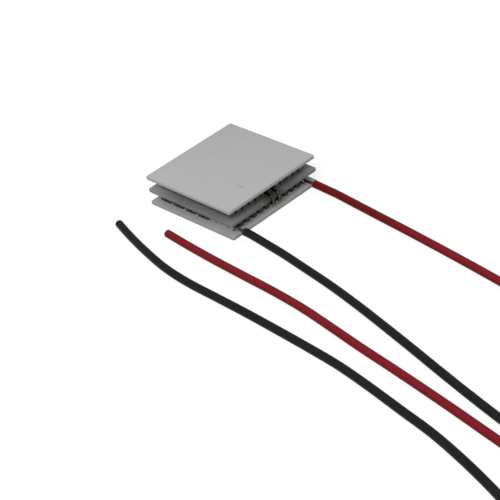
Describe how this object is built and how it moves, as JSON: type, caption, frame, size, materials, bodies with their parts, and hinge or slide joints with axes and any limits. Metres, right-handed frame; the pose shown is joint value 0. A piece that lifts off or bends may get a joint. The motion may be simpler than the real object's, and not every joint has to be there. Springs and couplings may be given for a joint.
{
  "type": "thermoelectric cooling module",
  "caption": "Cascade thermoelectric cooler: stacked square ceramic plates with rows of semiconductor pellets and copper tabs between them, and insulated leads.",
  "frame": {"origin": "centre of the hot face, the underside of the lowest plate", "axes": "+Z from the hot face to the cold face, +X towards the side where both leads leave, red lead at +Y"},
  "size_m": [0.1625, 0.0681, 0.0084],
  "materials": {
    "alumina": "fine-grained matt alumina",
    "tab_copper": "copper with thin tin on top",
    "p_alloy": "sawn dark metallic",
    "n_alloy": "sawn dark metallic",
    "tinned_copper": "tinned, dulled",
    "jumper_copper": "tarnished copper with flux",
    "solder": "bright to dull solder",
    "black_insulation": "semi-gloss soft plastic",
    "red_insulation": "semi-gloss soft plastic"
  },
  "bodies": {
    "root": {"hot_plate": "alumina", "interstage_plate": "alumina", "cold_plate": "alumina", "lower_hot_tabs": "tab_copper", "lower_cold_tabs": "tab_copper", "upper_hot_tabs": "tab_copper", "upper_cold_tabs": "tab_copper", "lower_p_pellets_1": "p_alloy", "lower_p_pellets_2": "p_alloy", "lower_p_pellets_3": "p_alloy", "lower_p_pellets_4": "p_alloy", "lower_p_pellets_5": "p_alloy", "lower_p_pellets_6": "p_alloy", "lower_n_pellets_1": "n_alloy", "lower_n_pellets_2": "n_alloy", "lower_n_pellets_3": "n_alloy", "lower_n_pellets_4": "n_alloy", "lower_n_pellets_5": "n_alloy", "lower_n_pellets_6": "n_alloy", "upper_p_pellets_1": "p_alloy", "upper_p_pellets_2": "p_alloy", "upper_p_pellets_3": "p_alloy", "upper_p_pellets_4": "p_alloy", "upper_p_pellets_5": "p_alloy", "upper_p_pellets_6": "p_alloy", "upper_n_pellets_1": "n_alloy", "upper_n_pellets_2": "n_alloy", "upper_n_pellets_3": "n_alloy", "upper_n_pellets_4": "n_alloy", "upper_n_pellets_5": "n_alloy", "upper_n_pellets_6": "n_alloy", "black_core": "tinned_copper", "red_core": "tinned_copper", "black_lead_solder": "solder", "red_lead_solder": "solder", "entry_jumper": "jumper_copper", "return_jumper": "jumper_copper", "entry_jumper_upper_solder": "solder", "return_jumper_upper_solder": "solder", "entry_jumper_lower_solder": "solder", "return_jumper_lower_solder": "solder", "black_lead": "black_insulation", "red_lead": "red_insulation"}
  },
  "joints": []
}
